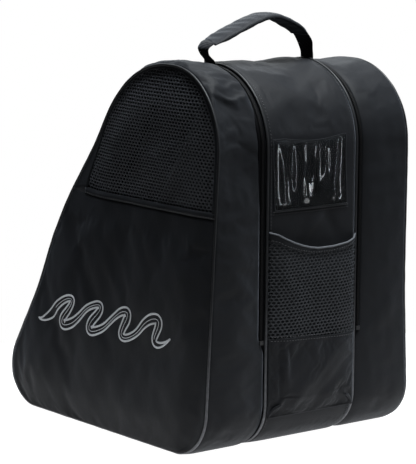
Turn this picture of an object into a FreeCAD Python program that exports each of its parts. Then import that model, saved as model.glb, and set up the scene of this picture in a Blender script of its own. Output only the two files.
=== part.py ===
import FreeCAD, Part
import math
import os
import re
import Sketcher
from FreeCAD import Placement, Rotation, Vector

# A soft skate bag with two compartments, one each side of a padded divider.  Seen from
# the side it is a trapezium with an upright front and a slanted rear.  X runs across
# the bag, -Y is the front with the pocket, +Y the slanted rear, +Z up.  The origin is
# the middle of the base, on the ground.  Every length is in millimetres.

doc = FreeCAD.newDocument("skate_bag")

# ---------------------------------------------------------------------------
# Driving dimensions
# ---------------------------------------------------------------------------

DIMENSIONS = {
    # outline seen from the side
    "body_height": 380.0,
    "half_depth": 185.0,
    "top_rear_y": -32.0,
    "radius_front_low": 48.0,
    "radius_rear_low": 43.0,
    "radius_rear_top": 115.0,
    "radius_front_top": 80.0,
    # widths
    "half_width": 135.0,
    "side_tilt": 2.86,
    "centre_half": 58.0,
    "wall": 3.0,
    "skin": 1.2,
    "clearance": 0.3,
    # piping in the seams
    "piping_radius": 1.75,
    "piping_inset": 2.15,
    # the line each compartment folds open along, and the ends of its zip
    "fold_height": 119.0,
    "corner_height": 50.0,
    "arch_height": 310.0,
    "zip_front_end": 113.5,
    "zip_rear_end": 89.5,
    "zip_stop_length": 4.5,
    "tape_half": 3.4,
    "tape_inset": 1.5,
    "tape_thickness": 0.6,
    "coil_half": 1.5,
    "coil_inset": 0.4,
    # mesh window in each side
    "mesh_base": 246.0,
    "mesh_top": 375.5,
    "mesh_front_y": -178.0,
    "mesh_rear_low_y": 24.0,
    "mesh_rear_top_y": -18.0,
    "mesh_radius_low": 3.0,
    "mesh_radius_rear": 110.0,
    "mesh_radius_front": 75.0,
    "hem_height": 7.0,
    # divider and base boards
    "divider_thickness": 3.0,
    "board_thickness": 2.0,
    "board_width": 120.0,
    "board_front_y": -134.0,
    "board_rear_y": 107.0,
    # clear window on the front
    "window_left_x": -50.0,
    "window_right_x": 43.0,
    "window_base": 241.0,
    "window_top": 311.0,
    "window_seam_width": 4.0,
    "window_thickness": 0.6,
    # front pocket
    "pocket_half": 55.4,
    "pocket_depth": 9.0,
    "pocket_base": 34.0,
    "pocket_seam": 112.0,
    "pocket_mesh_top": 197.0,
    "pocket_header_top": 203.0,
    "pocket_mouth": 206.0,
    "tuck_width": 12.0,
    "tuck_height": 8.0,
    # carrying handle
    "handle_y": -105.0,
    "handle_axis_height": 384.5,
    "handle_apex": 427.0,
    "grip_half_span": 63.0,
    "grip_rise": 22.0,
    "grip_thickness": 4.0,
    "grip_width": 32.0,
    "strap_width": 26.0,
    "strap_thickness": 1.4,
    "strap_root_x": 60.9,
    "leg_radius": 10.0,
    "leg_centre_x": 65.8,
    "leg_centre_height": 394.0,
    # zip sliders and their pulls
    "slider_height": 106.0,
    "slider_width": 9.0,
    "slider_length": 12.0,
    "slider_lift": 0.3,
    "slider_thickness": 2.0,
    "crown_height": 3.2,
    "crown_bar": 1.2,
    "crown_width": 2.4,
    "crown_length": 8.0,
    "pull_length": 27.0,
    "pull_width": 6.0,
    "pull_thickness": 1.2,
}

sheet = doc.addObject("Spreadsheet::Sheet", "dims")
for row, (alias, value) in enumerate(DIMENSIONS.items(), start=1):
    sheet.set(f"A{row}", str(value))
    sheet.setAlias(f"A{row}", alias)
doc.recompute()


ALIAS = re.compile("|".join(sorted(DIMENSIONS, key=len, reverse=True)))


def value(text):
    """The present value of an expression written in the sheet's aliases."""
    return FreeCAD.Units.Quantity(ALIAS.sub(lambda word: str(getattr(sheet, word.group())), text)).Value


def bind(thing, name, text):
    """Bind one property of an object to an expression in the sheet's aliases."""
    thing.setExpression(name, ALIAS.sub(r"dims.\g<0>", text))


# ---------------------------------------------------------------------------
# Builders
# ---------------------------------------------------------------------------

SIDE_VIEW = Rotation(Vector(1, 1, 1), 120)
nodes = []


def node(thing, label):
    """Mark an object as a sub-part of its own, written under its label."""
    thing.Label = label
    nodes.append(thing)
    return thing


def both_sides(left, label):
    """Keep a left-hand piece and its mirror image as two sub-parts."""
    node(left, "left_" + label)
    right = doc.addObject("Part::Mirroring", "mirror_" + label)
    right.Source = left
    right.Normal = Vector(1, 0, 0)
    node(right, "right_" + label)


def corner_arc(corners, index, radius):
    """The arc that rounds one corner of a polygon drawn anticlockwise, and its ends."""
    corner = corners[index]
    back = (corners[index - 1] - corner).normalize()
    ahead = (corners[(index + 1) % len(corners)] - corner).normalize()
    half_angle = back.getAngle(ahead) / 2
    start = corner + back * (radius / math.tan(half_angle))
    end = corner + ahead * (radius / math.tan(half_angle))
    centre = corner + (back + ahead).normalize() * (radius / math.sin(half_angle))
    start_angle = math.atan2(start.y - centre.y, start.x - centre.x)
    end_angle = math.atan2(end.y - centre.y, end.x - centre.x)
    circle = Part.Circle(centre, Vector(0, 0, 1), radius)
    return Part.ArcOfCircle(circle, start_angle, end_angle), start, end


def rounded_outline(name, corners, radii):
    """A closed side-view sketch: a polygon with a radius at each corner.

    The corners run anticlockwise as (y, z) pairs of expressions.  The polygon itself is
    construction geometry, and the drawn lines lie on it between the tangent arcs.
    """
    sketch = doc.addObject("Sketcher::SketchObject", name)
    sketch.Placement = Placement(Vector(0, 0, 0), SIDE_VIEW)
    points = [Vector(value(y), value(z), 0) for y, z in corners]
    count = len(points)
    arcs = [corner_arc(points, index, value(radii[index])) for index in range(count)]
    for index in range(count):
        polygon_line = Part.LineSegment(points[index], points[(index + 1) % count])
        sketch.addGeometry(polygon_line, True)
    for index in range(count):
        drawn_line = Part.LineSegment(arcs[index][2], arcs[(index + 1) % count][1])
        sketch.addGeometry(drawn_line, False)
    for index in range(count):
        sketch.addGeometry(arcs[index][0], False)

    def constrain(text, kind, *where):
        number = sketch.addConstraint(Sketcher.Constraint(kind, *where, value(text)))
        bind(sketch, f"Constraints[{number}]", text)

    for index, (y, z) in enumerate(corners):
        following = (index + 1) % count
        line = count + index
        arc = 2 * count + index
        sketch.addConstraint(Sketcher.Constraint("Coincident", index, 2, following, 1))
        constrain(y, "DistanceX", -1, 1, index, 1)
        constrain(z, "DistanceY", -1, 1, index, 1)
        sketch.addConstraint(Sketcher.Constraint("PointOnObject", line, 1, index))
        sketch.addConstraint(Sketcher.Constraint("PointOnObject", line, 2, index))
        sketch.addConstraint(Sketcher.Constraint("Tangent", arc, 2, line, 1))
        sketch.addConstraint(Sketcher.Constraint("Tangent", line, 2, 2 * count + following, 1))
        constrain(radii[index], "Radius", arc)
    return sketch


def slab(name, outline, x_low, x_high):
    """A side-view outline made solid from one x to another."""
    solid = doc.addObject("Part::Extrusion", name)
    solid.Base = outline
    solid.DirMode = "Custom"
    solid.Dir = Vector(1, 0, 0)
    solid.Solid = True
    bind(solid, "LengthFwd", f"({x_high}) - ({x_low})")
    bind(solid, "Placement.Base.x", x_low)
    return solid


def box(name, x_span, y_span, z_span):
    """A block between pairs of expressions along X, Y and Z."""
    solid = doc.addObject("Part::Box", name)
    spans = {"Length": ("x", x_span), "Width": ("y", y_span), "Height": ("z", z_span)}
    for side, (axis, (low, high)) in spans.items():
        bind(solid, side, f"({high}) - ({low})")
        bind(solid, f"Placement.Base.{axis}", low)
    return solid


def boolean(kind, name, base, tool):
    result = doc.addObject(f"Part::{kind}", name)
    result.Base = base
    result.Tool = tool
    return result


def cut(name, base, *tools):
    """The base less each tool in turn."""
    for number, tool in enumerate(tools):
        base = boolean("Cut", f"{name}_{number}", base, tool)
    return base


def common(name, base, tool):
    return boolean("Common", name, base, tool)


def fuse(name, base, tool):
    return boolean("Fuse", name, base, tool)


def band(name, outer, inner, x_low, x_high):
    """A hoop that follows the side outline, between two insets and two x planes."""
    filled = slab(f"{name}_outer", inset(outer), x_low, x_high)
    hollow = slab(f"{name}_inner", inset(inner), x_low, x_high)
    return boolean("Cut", name, filled, hollow)


def holder_of(thing):
    """A holder that can be placed without moving the thing in it."""
    holder = doc.addObject("Part::Compound", f"{thing.Name}_placed")
    holder.Links = [thing]
    return holder


def on_left_side(thing):
    """Put a piece on the tilted left side, its x measured inwards from the outer face."""
    holder = holder_of(thing)
    holder.Placement = Placement(Vector(0, 0, 0), Rotation(Vector(0, 1, 0), 1))
    bind(holder, "Placement.Rotation.Angle", "side_tilt")
    bind(holder, "Placement.Base.x", "-half_width")
    return holder


def piping(name):
    """A round bead along the whole side outline, at x = 0."""
    path = inset("piping_inset")
    section = doc.addObject("Part::Circle", f"{name}_section")
    section.Placement = Placement(Vector(0, 0, 0), Rotation(Vector(1, 0, 0), 90))
    bind(section, "Radius", "piping_radius")
    bind(section, "Placement.Base.z", "piping_inset")
    doc.recompute()
    bead = doc.addObject("Part::Sweep", name)
    bead.Sections = [section]
    bead.Spine = (path, [f"Edge{number + 1}" for number in range(len(path.Shape.Edges))])
    bead.Solid = True
    bead.Frenet = False
    return bead


def moved_along_x(thing, text):
    holder = holder_of(thing)
    bind(holder, "Placement.Base.x", text)
    return holder


# ---------------------------------------------------------------------------
# The outline and the regions that split it
# ---------------------------------------------------------------------------

side_outline = rounded_outline(
    "side_outline",
    [
        ("-half_depth", "0"),
        ("half_depth", "0"),
        ("top_rear_y", "body_height"),
        ("-half_depth", "body_height"),
    ],
    ["radius_front_low", "radius_rear_low", "radius_rear_top", "radius_front_top"],
)
mesh_outline = rounded_outline(
    "mesh_outline",
    [
        ("mesh_front_y", "mesh_base"),
        ("mesh_rear_low_y", "mesh_base"),
        ("mesh_rear_top_y", "mesh_top"),
        ("mesh_front_y", "mesh_top"),
    ],
    ["mesh_radius_low", "mesh_radius_low", "mesh_radius_rear", "mesh_radius_front"],
)
doc.recompute()

insets = {"0": side_outline}


def inset(text):
    """The bag's side outline, moved inwards by a distance."""
    if text not in insets:
        ring = doc.addObject("Part::Offset2D", f"outline_inset_{len(insets)}")
        ring.Source = side_outline
        ring.Value = -value(text)
        bind(ring, "Value", f"-({text})")
        insets[text] = ring
    return insets[text]


LEFT_FAR = "-half_width - 10"
RIGHT_FAR = "half_width + 10"
FRONT_FAR = "-half_depth - 10"
REAR_FAR = "half_depth + 10"
UNDER = "-10"
OVER = "body_height + 10"
SEAM_GAP = "piping_radius + clearance"
PANEL_INSET = "piping_inset + piping_radius + clearance"
ZIP_X = "centre_half + piping_radius + clearance + tape_half"

below_fold = box(
    "below_fold", (LEFT_FAR, RIGHT_FAR), (FRONT_FAR, REAR_FAR), (UNDER, "fold_height - clearance")
)
above_fold = box(
    "above_fold", (LEFT_FAR, RIGHT_FAR), (FRONT_FAR, REAR_FAR), ("fold_height + clearance", OVER)
)

# ---------------------------------------------------------------------------
# Centre band, divider and base boards
# ---------------------------------------------------------------------------

CENTRE_EDGE = f"centre_half - ({SEAM_GAP})"
centre_band = band("centre_band", "0", "wall", f"-({CENTRE_EDGE})", CENTRE_EDGE)
centre_regions = {
    "base_panel": ((FRONT_FAR, REAR_FAR), (UNDER, "corner_height")),
    "centre_front_panel": ((FRONT_FAR, "0"), ("corner_height", "arch_height")),
    "centre_rear_panel": (("0", REAR_FAR), ("corner_height", "arch_height")),
    "centre_top_panel": ((FRONT_FAR, REAR_FAR), ("arch_height", OVER)),
}
for label, (y_span, z_span) in centre_regions.items():
    region = box(f"{label}_region", (LEFT_FAR, RIGHT_FAR), y_span, z_span)
    node(common(f"{label}_solid", centre_band, region), label)

node(
    slab("divider", inset("wall + clearance"), "-divider_thickness / 2", "divider_thickness / 2"),
    "divider_panel",
)
BOARD_EDGE = "divider_thickness / 2 + clearance"
both_sides(
    box(
        "board",
        (f"-({BOARD_EDGE}) - board_width", f"-({BOARD_EDGE})"),
        ("board_front_y", "board_rear_y"),
        (PANEL_INSET, f"{PANEL_INSET} + board_thickness"),
    ),
    "base_board",
)
both_sides(moved_along_x(piping("inner_bead"), "-centre_half"), "inner_piping")

# ---------------------------------------------------------------------------
# Zips: a tape and a coil in two halves, which part along the middle of the zip
# ---------------------------------------------------------------------------

zip_reach = fuse(
    "zip_reach",
    box("zip_front", (LEFT_FAR, RIGHT_FAR), (FRONT_FAR, "0"), ("zip_front_end", OVER)),
    box("zip_rear", (LEFT_FAR, RIGHT_FAR), ("0", REAR_FAR), ("zip_rear_end", OVER)),
)
opening_half = box(
    "opening_half",
    (LEFT_FAR, f"-({ZIP_X})"),
    (FRONT_FAR, REAR_FAR),
    ("fold_height - clearance", OVER),
)
zip_layers = {
    "zip_tape": ("tape_half", "tape_inset", "tape_inset + tape_thickness"),
    "zip_coil": ("coil_half", "coil_inset", "tape_inset"),
}
for label, (half, outer, inner) in zip_layers.items():
    whole = band(f"{label}_hoop", outer, inner, f"-({ZIP_X}) - {half}", f"-({ZIP_X}) + {half}")
    run = common(f"{label}_run", whole, zip_reach)
    both_sides(cut(f"{label}_fixed", run, opening_half), f"{label}_inner")
    outer_half = band(f"{label}_half", outer, inner, f"-({ZIP_X}) - {half}", f"-({ZIP_X})")
    both_sides(common(f"{label}_moving", outer_half, above_fold), f"{label}_outer")

stop_hoop = band(
    "stop_hoop",
    "coil_inset",
    "tape_inset + tape_thickness",
    f"-({ZIP_X}) - 0.7 * tape_half",
    f"-({ZIP_X}) + 0.7 * tape_half",
)
stop_spans = fuse(
    "stop_spans",
    box(
        "front_stop_span",
        (LEFT_FAR, RIGHT_FAR),
        (FRONT_FAR, "0"),
        ("zip_front_end - zip_stop_length + clearance", "zip_front_end - clearance"),
    ),
    box(
        "rear_stop_span",
        (LEFT_FAR, RIGHT_FAR),
        ("0", REAR_FAR),
        ("zip_rear_end - zip_stop_length + clearance", "zip_rear_end - clearance"),
    ),
)
both_sides(common("stops", stop_hoop, stop_spans), "zip_stops")

# ---------------------------------------------------------------------------
# The fixed tray of each compartment, below the fold line
# ---------------------------------------------------------------------------

side_zone = on_left_side(
    box(
        "side_zone",
        ("-half_width / 2", "2 * piping_radius + clearance"),
        (FRONT_FAR, REAR_FAR),
        (UNDER, OVER),
    )
)
gusset_hoop = band("gusset_hoop", "0", "wall", "-half_width - 5", f"-centre_half - ({SEAM_GAP})")
gusset_blank = cut("gusset_blank", gusset_hoop, side_zone)
ZIP_EDGE = f"{ZIP_X} + tape_half + clearance"
front_slot = box(
    "front_slot",
    (f"-({ZIP_EDGE})", "0"),
    (FRONT_FAR, "0"),
    ("zip_front_end - zip_stop_length", OVER),
)
rear_slot = box(
    "rear_slot",
    (f"-({ZIP_EDGE})", "0"),
    ("0", REAR_FAR),
    ("zip_rear_end - zip_stop_length", OVER),
)
tray_blank = common("tray_blank", gusset_blank, below_fold)
both_sides(cut("tray_gusset", tray_blank, front_slot, rear_slot), "tray_gusset")

side_skin = on_left_side(
    slab("skin_blank", inset(PANEL_INSET), "clearance", "clearance + skin")
)
both_sides(common("tray_side", side_skin, below_fold), "tray_panel")

LINING_SPAN = ("clearance + skin", "2 * piping_radius")
lining_blank = on_left_side(slab("lining_blank", inset(PANEL_INSET), *LINING_SPAN))
both_sides(common("tray_pad", lining_blank, below_fold), "tray_lining")

outer_bead = on_left_side(moved_along_x(piping("outer_bead"), "piping_radius"))
both_sides(common("tray_bead", outer_bead, below_fold), "tray_piping")

# ---------------------------------------------------------------------------
# The shell of each compartment, above the fold line, which opens outwards
# ---------------------------------------------------------------------------

both_sides(
    cut("shell_gusset", common("shell_blank", gusset_blank, above_fold), front_slot, rear_slot),
    "gusset",
)
both_sides(common("shell_bead", outer_bead, above_fold), "outer_piping")
mesh_opening = on_left_side(slab("mesh_opening", mesh_outline, "0", "4 * skin"))
both_sides(cut("shell_side", common("side_blank", side_skin, above_fold), mesh_opening), "side_panel")
both_sides(
    on_left_side(slab("mesh_sheet", mesh_outline, "clearance + skin / 3", "clearance + skin")),
    "mesh_window",
)
hem_region = on_left_side(
    box("hem_region", ("0", "1"), (FRONT_FAR, REAR_FAR), ("mesh_base - hem_height", "mesh_base"))
)
hem_blank = on_left_side(slab("hem_blank", inset(PANEL_INSET), "0", "clearance"))
both_sides(common("hem_strip", hem_blank, hem_region), "mesh_hem")
padded_region = box(
    "padded_region",
    (LEFT_FAR, RIGHT_FAR),
    (FRONT_FAR, REAR_FAR),
    ("fold_height + clearance", "mesh_base - hem_height"),
)
both_sides(common("shell_pad", lining_blank, padded_region), "side_lining")

# ---------------------------------------------------------------------------
# Clear window and pocket on the front
# ---------------------------------------------------------------------------

window_x = ("window_left_x", "window_right_x")
SEAM_FRONT = "-half_depth - 2 * window_thickness"
seam_block = box(
    "seam_block", window_x, (SEAM_FRONT, "-half_depth"), ("window_base", "window_top")
)
seam_hole = box(
    "seam_hole",
    ("window_left_x + window_seam_width", "window_right_x - window_seam_width"),
    (FRONT_FAR, "0"),
    ("window_base + window_seam_width", OVER),
)
node(cut("window_seam", seam_block, seam_hole), "id_window_seam")
node(
    box(
        "window_sheet",
        window_x,
        (f"{SEAM_FRONT} - window_thickness", SEAM_FRONT),
        ("window_base", "window_top"),
    ),
    "id_window",
)

whole_bag = slab("whole_bag", inset("0"), LEFT_FAR, RIGHT_FAR)


def pocket_stretch(name, z_low, z_high, thickness, spread, floor):
    """A length of the pocket's front and side walls, open at the back and the top."""
    depth_line = f"-half_depth - pocket_depth - {spread}"
    half = f"pocket_half + {spread}"
    outside = box(
        f"{name}_outside", (f"-({half})", half), (depth_line, "-half_depth + wall"), (z_low, z_high)
    )
    inside = box(
        f"{name}_inside",
        (f"-({half}) + {thickness}", f"{half} - {thickness}"),
        (f"{depth_line} + {thickness}", "0"),
        (f"{z_low} + {floor}", OVER),
    )
    return cut(name, outside, inside, whole_bag)


node(pocket_stretch("fabric_part", "pocket_base", "pocket_seam", "skin", "0", "skin"), "pocket_front")
node(pocket_stretch("mesh_part", "pocket_seam", "pocket_mesh_top", "skin", "0", "0"), "pocket_mesh")
node(
    pocket_stretch("header_part", "pocket_mesh_top", "pocket_header_top", "skin", "0", "0"),
    "pocket_header",
)
node(
    pocket_stretch("mouth_part", "pocket_header_top", "pocket_mouth", "2 * skin", "skin / 2", "0"),
    "pocket_edge_binding",
)
POCKET_FRONT = "-half_depth - pocket_depth"
left_tuck = box(
    "left_tuck",
    ("-pocket_half + skin", "-pocket_half + skin + tuck_width"),
    (f"{POCKET_FRONT} - skin", POCKET_FRONT),
    ("pocket_base + skin", "pocket_base + skin + tuck_height"),
)
right_tuck = doc.addObject("Part::Mirroring", "right_tuck")
right_tuck.Source = left_tuck
right_tuck.Normal = Vector(1, 0, 0)
node(fuse("tucks", left_tuck, right_tuck), "pocket_tucks")

# ---------------------------------------------------------------------------
# Carrying handle: two sewn roots, two webbing legs and a padded grip
# ---------------------------------------------------------------------------

strap_y = ("handle_y - strap_width / 2", "handle_y + strap_width / 2")
root_x = ("-strap_root_x - strap_thickness / 2", "-strap_root_x + strap_thickness / 2")
ROOT_BASE = "body_height - tape_inset + 0.3 * clearance"
both_sides(
    box("strap_root", root_x, strap_y, (ROOT_BASE, "handle_axis_height - 2 * clearance")),
    "handle_anchor",
)


def tube_sector(name, radius, start_degrees, sweep_degrees):
    """Part of a tube of webbing that curls about the Y axis through the origin."""
    outer = doc.addObject("Part::Cylinder", f"{name}_outer")
    inner = doc.addObject("Part::Cylinder", f"{name}_inner")
    bind(outer, "Radius", f"{radius} + strap_thickness / 2")
    bind(inner, "Radius", f"{radius} - strap_thickness / 2")
    for cylinder in (outer, inner):
        bind(cylinder, "Height", "strap_width")
        cylinder.Angle = sweep_degrees
        turned = Rotation(Vector(1, 0, 0), 90) * Rotation(Vector(0, 0, 1), start_degrees)
        cylinder.Placement = Placement(Vector(0, 0, 0), turned)
    return boolean("Cut", name, outer, inner)


LEG_SWEEP = 211.0
LEG_TOP_ANGLE = 87.0
leg_curl = holder_of(tube_sector("leg_curl", "leg_radius", LEG_TOP_ANGLE, LEG_SWEEP))
bind(leg_curl, "Placement.Base.x", "-leg_centre_x")
bind(leg_curl, "Placement.Base.y", "handle_y + strap_width / 2")
bind(leg_curl, "Placement.Base.z", "leg_centre_height")
both_sides(leg_curl, "handle_leg")

grip_body = doc.addObject("PartDesign::Body", "grip_body")
grip_sketch = grip_body.newObject("Sketcher::SketchObject", "grip_arch")
upright_plane = [
    plane for plane in grip_body.Origin.OriginFeatures if plane.Role == "XZ_Plane"
][0]
grip_sketch.AttachmentSupport = [(upright_plane, "")]
grip_sketch.MapMode = "FlatFace"
ARCH_RADIUS = "(grip_half_span ^ 2 + grip_rise ^ 2) / (2 * grip_rise)"
arch_radius = (value("grip_half_span") ** 2 + value("grip_rise") ** 2) / (2 * value("grip_rise"))
arch_centre = Vector(0, value("handle_apex") - arch_radius, 0)
arch_half_angle = math.asin(value("grip_half_span") / arch_radius)
arch_ends = (math.pi / 2 - arch_half_angle, math.pi / 2 + arch_half_angle)
for radius in (arch_radius, arch_radius - value("grip_thickness")):
    circle = Part.Circle(arch_centre, Vector(0, 0, 1), radius)
    grip_sketch.addGeometry(Part.ArcOfCircle(circle, *arch_ends), False)
for end in (1, 2):
    outer_end = grip_sketch.getPoint(0, end)
    inner_end = grip_sketch.getPoint(1, end)
    line = grip_sketch.addGeometry(Part.LineSegment(outer_end, inner_end), False)
    grip_sketch.addConstraint(Sketcher.Constraint("Coincident", 0, end, line, 1))
    grip_sketch.addConstraint(Sketcher.Constraint("Coincident", 1, end, line, 2))
    grip_sketch.addConstraint(Sketcher.Constraint("PointOnObject", 0, 3, line))
grip_sketch.addConstraint(Sketcher.Constraint("Coincident", 0, 3, 1, 3))
grip_sketch.addConstraint(Sketcher.Constraint("PointOnObject", 0, 3, -2))
grip_sizes = [
    (("Radius", 0, arch_radius), ARCH_RADIUS),
    (("Radius", 1, arch_radius - value("grip_thickness")), f"{ARCH_RADIUS} - grip_thickness"),
    (("DistanceY", -1, 1, 0, 3, arch_centre.y), f"handle_apex - {ARCH_RADIUS}"),
    (("DistanceX", -1, 1, 0, 1, value("grip_half_span")), "grip_half_span"),
    (("DistanceX", -1, 1, 0, 2, -value("grip_half_span")), "-grip_half_span"),
]
for constraint, text in grip_sizes:
    number = grip_sketch.addConstraint(Sketcher.Constraint(*constraint))
    bind(grip_sketch, f"Constraints[{number}]", text)
grip_pad = grip_body.newObject("PartDesign::Pad", "grip_pad")
grip_pad.Profile = grip_sketch
grip_pad.Midplane = True
bind(grip_pad, "Length", "grip_width")
doc.recompute()
grip_round = grip_body.newObject("PartDesign::Fillet", "grip_round")
grip_round.Base = (grip_pad, [f"Edge{number + 1}" for number in range(len(grip_pad.Shape.Edges))])
bind(grip_round, "Radius", "grip_thickness / 3")
bind(grip_body, "Placement.Base.y", "handle_y")
node(grip_body, "handle_grip")

# ---------------------------------------------------------------------------
# Zip sliders, parked at the foot of the rear slope, and their pulls
# ---------------------------------------------------------------------------

REAR_RUN = "(half_depth - top_rear_y)"
SLOPE_ANGLE = f"-atan(body_height / {REAR_RUN})"
SLOPE_Y = f"half_depth - {REAR_RUN} * slider_height / body_height"


def on_rear_slope(thing):
    """Put a piece on the left zip: its y runs down the rear slope, its z out of it."""
    holder = holder_of(thing)
    holder.Placement = Placement(Vector(0, 0, 0), Rotation(Vector(1, 0, 0), -1))
    bind(holder, "Placement.Rotation.Angle", SLOPE_ANGLE)
    bind(holder, "Placement.Base.x", f"-({ZIP_X})")
    bind(holder, "Placement.Base.y", SLOPE_Y)
    bind(holder, "Placement.Base.z", "slider_height")
    return holder


def centred(text):
    """The span of a size about zero."""
    return (f"-({text}) / 2", f"({text}) / 2")


PLATE_TOP = "slider_lift + slider_thickness"
slider_plate = box(
    "slider_plate", centred("slider_width"), centred("slider_length"), ("slider_lift", PLATE_TOP)
)
crown_block = box(
    "crown_block",
    centred("crown_width"),
    centred("crown_length"),
    (PLATE_TOP, f"{PLATE_TOP} + crown_height"),
)
crown_hole = box(
    "crown_hole",
    centred("2 * crown_width"),
    centred("crown_length - 2 * crown_bar"),
    (PLATE_TOP, f"{PLATE_TOP} + crown_height - crown_bar"),
)
crown = boolean("Cut", "crown", crown_block, crown_hole)
both_sides(on_rear_slope(fuse("slider_solid", slider_plate, crown)), "slider")

PULL_AXIS = f"{PLATE_TOP} + (crown_height - crown_bar) / 2"
pull_z = (f"{PULL_AXIS} - pull_thickness / 2", f"{PULL_AXIS} + pull_thickness / 2")
pull_plate = box("pull_plate", centred("pull_width"), ("0", "pull_length"), pull_z)
pull_eye = box(
    "pull_eye", centred("1.5 * crown_width"), ("-1", "crown_length - crown_bar"), (UNDER, "10")
)
pull_pin = doc.addObject("Part::Cylinder", "pull_pin")
pull_pin.Placement = Placement(Vector(0, 0, 0), Rotation(Vector(0, 1, 0), 90))
bind(pull_pin, "Radius", "pull_thickness / 2")
bind(pull_pin, "Height", "pull_width")
bind(pull_pin, "Placement.Base.x", "-pull_width / 2")
bind(pull_pin, "Placement.Base.z", PULL_AXIS)
pull_blade = boolean("Cut", "pull_blade", pull_plate, pull_eye)
both_sides(on_rear_slope(fuse("pull_solid", pull_blade, pull_pin)), "pull_tab")

# ---------------------------------------------------------------------------
# Check and write every sub-part
# ---------------------------------------------------------------------------

doc.recompute()
for thing in doc.Objects:
    if "Invalid" in thing.State or "Error" in thing.State:
        raise RuntimeError(f"{thing.Name} is {thing.State}")
os.makedirs("parts", exist_ok=True)
for thing in nodes:
    if thing.Shape.isNull() or not thing.Shape.isValid() or not thing.Shape.Solids:
        raise RuntimeError(f"{thing.Label} has no valid solid")
for thing in nodes:
    thing.Shape.exportStep(f"parts/{thing.Label}.step")
    print(f"{thing.Label}: {len(thing.Shape.Solids)} solids, {thing.Shape.Volume:.0f} mm3")
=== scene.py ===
import math

import bmesh
import bpy
import numpy as np
from mathutils import Matrix, Vector
from mathutils.bvhtree import BVHTree


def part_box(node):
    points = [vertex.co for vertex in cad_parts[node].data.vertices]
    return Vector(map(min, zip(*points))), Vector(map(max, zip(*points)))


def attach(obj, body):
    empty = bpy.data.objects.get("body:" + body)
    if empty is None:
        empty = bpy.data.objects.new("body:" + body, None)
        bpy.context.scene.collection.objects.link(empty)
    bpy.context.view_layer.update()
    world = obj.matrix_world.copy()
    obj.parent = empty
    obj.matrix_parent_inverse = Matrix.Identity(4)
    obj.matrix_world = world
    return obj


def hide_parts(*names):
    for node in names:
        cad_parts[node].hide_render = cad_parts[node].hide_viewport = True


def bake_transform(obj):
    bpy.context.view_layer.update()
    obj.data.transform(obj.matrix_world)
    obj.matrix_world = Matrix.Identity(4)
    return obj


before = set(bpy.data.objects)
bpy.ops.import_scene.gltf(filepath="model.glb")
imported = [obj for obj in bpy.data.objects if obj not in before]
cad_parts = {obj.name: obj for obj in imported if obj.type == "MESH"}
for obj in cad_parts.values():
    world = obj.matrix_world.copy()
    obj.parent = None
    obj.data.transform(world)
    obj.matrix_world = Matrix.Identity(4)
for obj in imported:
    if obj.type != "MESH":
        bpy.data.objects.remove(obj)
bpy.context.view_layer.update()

# A soft skate bag.  Lengths are in millimetres until a mesh is made, in the frame's own
# axes: X across the bag, -Y the upright front, +Y the slanted rear, +Z up.  Throughout,
# s is a distance along the outline of the bag's side, out is a distance off a surface,
# and sign is -1 for the left of the bag and 1 for its right.

MM = 0.001

# === Sizes read from the frame, and the few that the frame doesn't hold ===


def corner(node, end, axis):
    """One coordinate of a CAD node's box; end is 0 for the low side, 1 for the high."""
    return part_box(node)[end][axis] / MM


SIDES = {"left": -1, "right": 1}
HEIGHT = corner("centre_top_panel", 1, 2)
FRONT = corner("centre_front_panel", 0, 1)
HALF_DEPTH = -FRONT
REAR_TOP_Y = -32.0
REAR_FALL = (HALF_DEPTH - REAR_TOP_Y) / HEIGHT
HALF_WIDTH = 135.0
SIDE_TILT = math.radians(2.86)
SIN_TILT = math.sin(SIDE_TILT)
COS_TILT = math.cos(SIDE_TILT)
ZIP_X = 63.45
ZIP_FRONT_Z = corner("left_zip_stops", 1, 2)
ZIP_REAR_Z = corner("left_zip_coil_inner", 0, 2)
MESH_BASE = corner("left_mesh_hem", 1, 2)
WINDOW_X = [corner("id_window", end, 0) for end in (0, 1)]
WINDOW_Z = [corner("id_window", end, 2) for end in (0, 1)]
POCKET_BASE = corner("pocket_front", 0, 2)
POCKET_SEAM = corner("pocket_front", 1, 2)
HANDLE_Y = -105.0

# The thickness of each cloth, and how far the side's cloth lies inside the rim.
WALL = 2.4
SIDE_WALL = 3.0
BORDER_WALL = 1.4
SEAM_INSET = 2.3
HEM_Z = 239.0


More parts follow.
